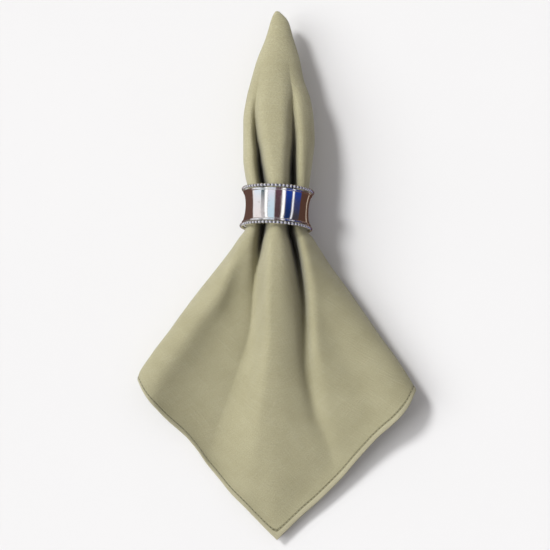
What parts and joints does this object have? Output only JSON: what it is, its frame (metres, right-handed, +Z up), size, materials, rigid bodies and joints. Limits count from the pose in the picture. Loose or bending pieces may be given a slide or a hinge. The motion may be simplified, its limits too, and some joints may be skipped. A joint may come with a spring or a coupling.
{
  "type": "linen napkin in a ring",
  "caption": "Square linen napkin folded in quarters and drawn through a waisted silver ring with beaded rims, lying flat.",
  "frame": {"origin": "middle of the outline on the table, at the height of the surface that the napkin lies on", "axes": "+Z up from the table, +Y towards the closed tip, +X to the right as seen from above with the tip pointing away"},
  "size_m": [0.1835, 0.3524, 0.048],
  "materials": {
    "linen": "plain woven linen, matt",
    "silver": "polished silver plate"
  },
  "bodies": {
    "root": {"napkin": "linen", "ring_band": "silver", "ring_beads_upper": "silver", "ring_beads_lower": "silver"}
  },
  "joints": []
}
